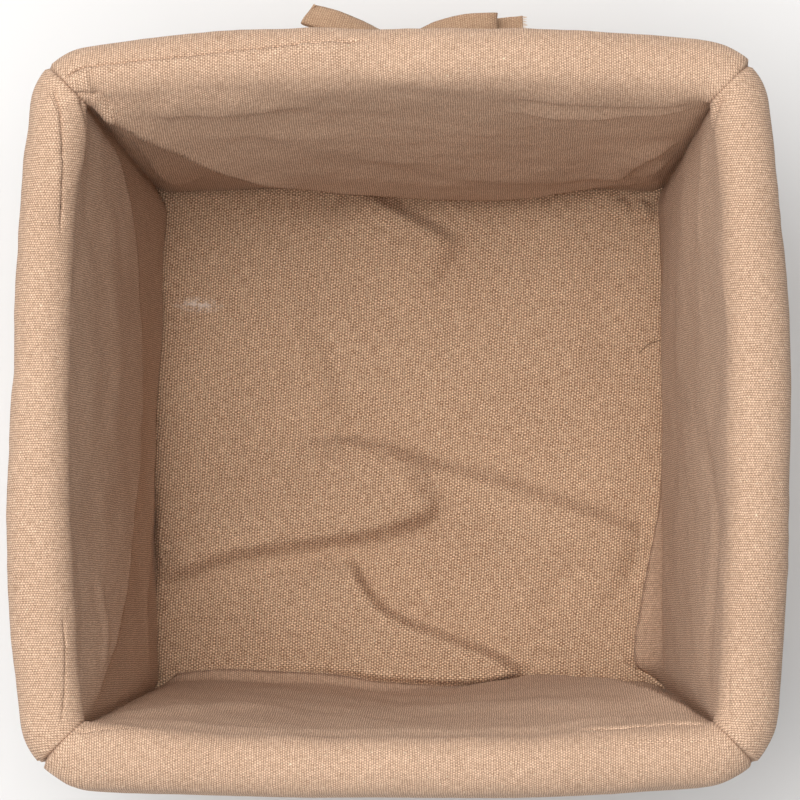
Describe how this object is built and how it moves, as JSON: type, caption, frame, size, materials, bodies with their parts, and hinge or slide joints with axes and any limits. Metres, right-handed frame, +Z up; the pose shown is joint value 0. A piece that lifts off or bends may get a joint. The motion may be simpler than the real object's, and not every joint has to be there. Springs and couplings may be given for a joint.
{
  "type": "fabric storage bin",
  "caption": "Open square fabric bin with board-stiffened walls and a padded rim, and a lift-out cloth liner whose ribbon-tied cuff folds over the rim.",
  "frame": {"origin": "middle of the underside, on the surface that the bin stands on", "axes": "+Z up out of the bin's mouth, -Y towards the side with the bow, +X to the right seen from that side"},
  "size_m": [0.3236, 0.3344, 0.25],
  "materials": {
    "liner_cloth": "plain-weave cotton, matt",
    "shell_canvas": "plain-weave canvas, matt",
    "binding": "woven tape, matt",
    "ribbon": "plain-weave cotton, matt",
    "board": "greyboard, matt",
    "foam": "open-cell foam, matt",
    "wire": "drawn steel"
  },
  "bodies": {
    "shell": {"shell_cover_front": "shell_canvas", "shell_cover_left": "shell_canvas", "shell_cover_back": "shell_canvas", "shell_cover_right": "shell_canvas", "side_board_front": "board", "side_board_left": "board", "side_board_back": "board", "side_board_right": "board", "rim_foam_front": "foam", "rim_foam_left": "foam", "rim_foam_back": "foam", "rim_foam_right": "foam", "corner_binding_front_left": "binding", "corner_binding_left_back": "binding", "corner_binding_back_right": "binding", "corner_binding_right_front": "binding", "rim_wire": "wire", "base_cover": "shell_canvas", "base_board": "board", "base_lining": "shell_canvas", "base_binding": "binding"},
    "liner": {"liner_panel_front": "liner_cloth", "liner_panel_left": "liner_cloth", "liner_panel_back": "liner_cloth", "liner_panel_right": "liner_cloth", "liner_floor": "liner_cloth", "drawstring_ribbon": "ribbon", "bow_knot": "ribbon", "bow_loop_right": "ribbon", "bow_loop_left": "ribbon", "bow_tail_right": "ribbon", "bow_tail_left": "ribbon"}
  },
  "joints": [
    {"name": "liner_lift", "type": "slide", "parent": "shell", "child": "liner", "axis": [0, 0, 1], "range_m": [0, 0.28]}
  ]
}
